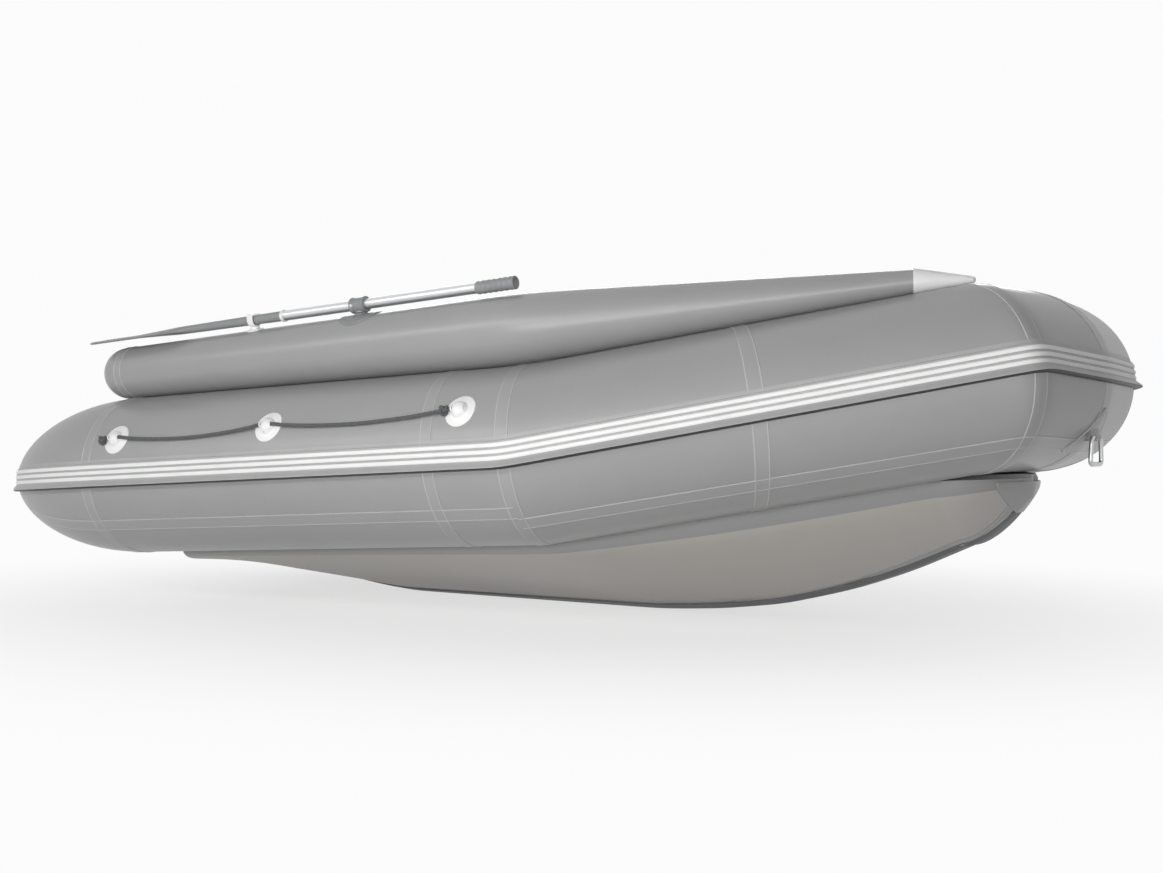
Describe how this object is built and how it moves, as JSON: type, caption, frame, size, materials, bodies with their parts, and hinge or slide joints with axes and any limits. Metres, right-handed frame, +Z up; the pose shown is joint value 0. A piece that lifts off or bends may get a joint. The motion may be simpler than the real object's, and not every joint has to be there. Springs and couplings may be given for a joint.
{
  "type": "inflatable boat with oars",
  "caption": "Inflatable boat with grey tubes, raised bulwark tubes, striped rubbing strake, V-keel air floor, transom, sliding benches, grab lines, tow ring and swinging oars.",
  "frame": {"origin": "on the floor, below the middle of the boat's box, with the boat parked on the flat run of its keel", "axes": "+X to the bow, +Y to port, +Z up"},
  "size_m": [3.3462, 1.9146, 0.9474],
  "materials": {
    "tube_fabric": "coated cloth, semi-matt, faint weave, glued seams",
    "bottom_fabric": "pale coated cloth, semi-matt",
    "strake_rubber": "moulded strip, satin",
    "stripe_white": "moulded stripes, satin",
    "keel_rubber": "chafe strip, matt",
    "tip_white": "white coated cloth cone, satin",
    "transom_wood": "grey coated marine plywood",
    "bench_wood": "grey painted plywood",
    "black_plastic": "moulded, fine grain",
    "holder_rubber": "moulded rubber, matt",
    "clip_metal": "extruded, satin",
    "patch_white": "moulded, satin",
    "rope": "braided line, dark grey",
    "base_grey": "moulded, satin",
    "lock_plastic": "moulded, fine grain",
    "oar_metal": "drawn tube, satin",
    "oar_plastic": "moulded, fine grain",
    "collar_white": "moulded ring",
    "ring_steel": "stainless bar"
  },
  "bodies": {
    "hull": {"tube_starboard": "tube_fabric", "tube_bow": "tube_fabric", "tube_port": "tube_fabric", "bulwark_starboard": "tube_fabric", "bulwark_port": "tube_fabric", "bulwark_tip_starboard": "tip_white", "bulwark_tip_port": "tip_white", "rub_strake": "strake_rubber", "strake_stripes": "stripe_white", "air_floor": "bottom_fabric", "keel_strip": "keel_rubber", "transom_board": "transom_wood", "transom_plates": "black_plastic", "transom_holders": "holder_rubber", "bench_rails": "black_plastic", "line_patches_starboard": "patch_white", "line_patches_port": "patch_white", "handline_starboard": "rope", "handline_port": "rope", "lock_base_starboard": "base_grey", "lock_base_port": "base_grey", "oar_clip_starboard": "patch_white", "oar_clip_port": "patch_white", "tow_patch": "tube_fabric", "air_valves": "black_plastic"},
    "oar_starboard": {"oarlock_starboard": "lock_plastic", "oar_shaft_starboard": "oar_metal", "oar_blade_starboard": "oar_plastic", "oar_collar_starboard": "collar_white", "oar_grip_starboard": "oar_plastic"},
    "oar_port": {"oarlock_port": "lock_plastic", "oar_shaft_port": "oar_metal", "oar_blade_port": "oar_plastic", "oar_collar_port": "collar_white", "oar_grip_port": "oar_plastic"},
    "bench_stern_body": {"bench_stern": "bench_wood", "bench_stern_clips": "clip_metal"},
    "bench_bow_body": {"bench_bow": "bench_wood", "bench_bow_clips": "clip_metal"},
    "tow_ring_body": {"tow_ring": "ring_steel"}
  },
  "joints": [
    {"name": "oar_swing_starboard", "type": "hinge", "parent": "hull", "child": "oar_starboard", "pos_m": [-0.26057, -0.71076, 0.84962], "axis": [-0.0792, -0.1736, 0.9816], "range_deg": [0, 120], "deforming": ["oar_clip_starboard"]},
    {"name": "oar_swing_port", "type": "hinge", "parent": "hull", "child": "oar_port", "pos_m": [-0.26057, 0.71076, 0.84962], "axis": [0.0792, -0.1736, -0.9816], "range_deg": [0, 120], "deforming": ["oar_clip_port"]},
    {"name": "bench_stern_slide", "type": "slide", "parent": "hull", "child": "bench_stern_body", "axis": [0.9983, 0, 0.0578], "range_m": [-0.12, 0.2]},
    {"name": "bench_bow_slide", "type": "slide", "parent": "hull", "child": "bench_bow_body", "axis": [0.9983, 0, 0.0578], "range_m": [-0.2, 0.15]},
    {"name": "tow_ring_hinge", "type": "hinge", "parent": "hull", "child": "tow_ring_body", "pos_m": [1.61284, 0, 0.52274], "axis": [0, -1, 0], "range_deg": [-35, 110]}
  ]
}
